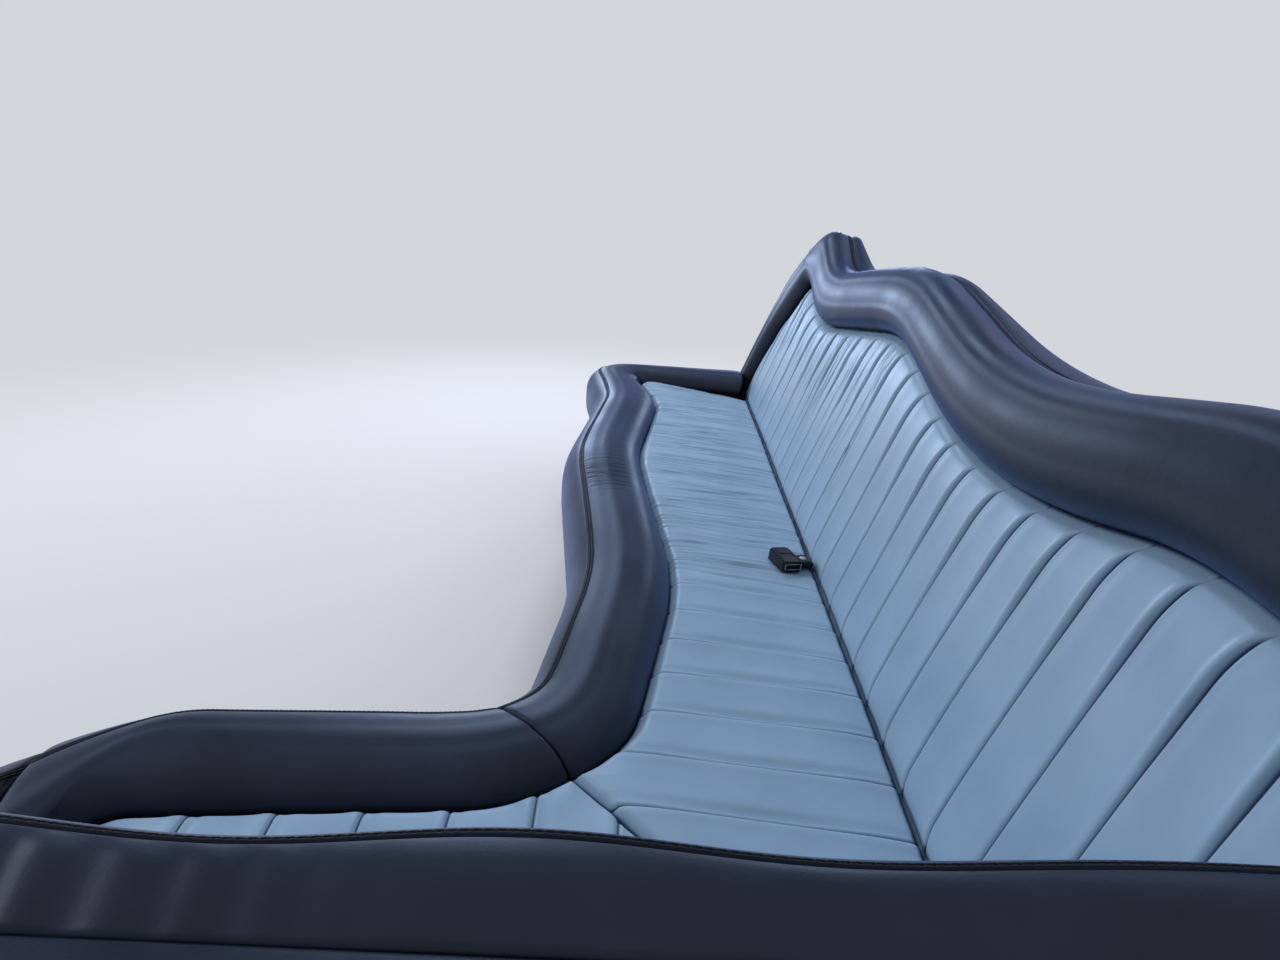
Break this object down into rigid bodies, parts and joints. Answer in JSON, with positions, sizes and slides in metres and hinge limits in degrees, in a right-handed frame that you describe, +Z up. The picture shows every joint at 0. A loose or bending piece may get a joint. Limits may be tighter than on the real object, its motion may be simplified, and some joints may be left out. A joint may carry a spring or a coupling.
{
  "type": "l-shaped lounge bench seat of a stretched limousine",
  "caption": "L-shaped upholstered cabin bench with wavy dark seat and back rolls, fluted light inserts, leaning backrests and a plywood base on a carpeted plinth.",
  "frame": {"origin": "on the floor, below the middle of the bench's overall box", "axes": "+Y along the long bench towards its free end, +X across the cabin towards the side wall, +Z up"},
  "size_m": [1.32, 2.56, 0.8494],
  "materials": {
    "dark_leather": "semi-gloss upholstery leather",
    "light_leather": "soft satin leather in sewn channels",
    "plywood": "raw birch plywood",
    "carpet": "short cut pile",
    "zinc_steel": "zinc plated",
    "buckle_shell": "moulded, slightly glossy",
    "buckle_button": "moulded",
    "webbing": "woven belt webbing"
  },
  "bodies": {
    "root": {"belt_buckle": "buckle_shell", "belt_button": "buckle_button", "belt_sleeve": "buckle_shell", "belt_webbing": "webbing", "far_end_plinth": "carpet", "front_back_board": "plywood", "front_back_end_strip": "dark_leather", "front_back_insert": "light_leather", "front_back_ribs": "plywood", "front_back_roll": "dark_leather", "front_back_shelf": "dark_leather", "front_deck": "plywood", "front_floor_brackets": "zinc_steel", "front_plinth": "carpet", "front_ribs": "plywood", "open_end_plinth": "carpet", "partition_rail": "plywood", "seat_insert_front": "light_leather", "seat_insert_side": "light_leather", "seat_roll_far_end": "dark_leather", "seat_roll_front": "dark_leather", "seat_roll_open_end": "dark_leather", "seat_roll_side": "dark_leather", "side_back_board": "plywood", "side_back_end_strip": "dark_leather", "side_back_insert": "light_leather", "side_back_ribs": "plywood", "side_back_roll": "dark_leather", "side_back_shelf": "dark_leather", "side_deck": "plywood", "side_floor_brackets": "zinc_steel", "side_plinth": "carpet", "side_ribs": "plywood", "wall_rail": "plywood"}
  },
  "joints": []
}
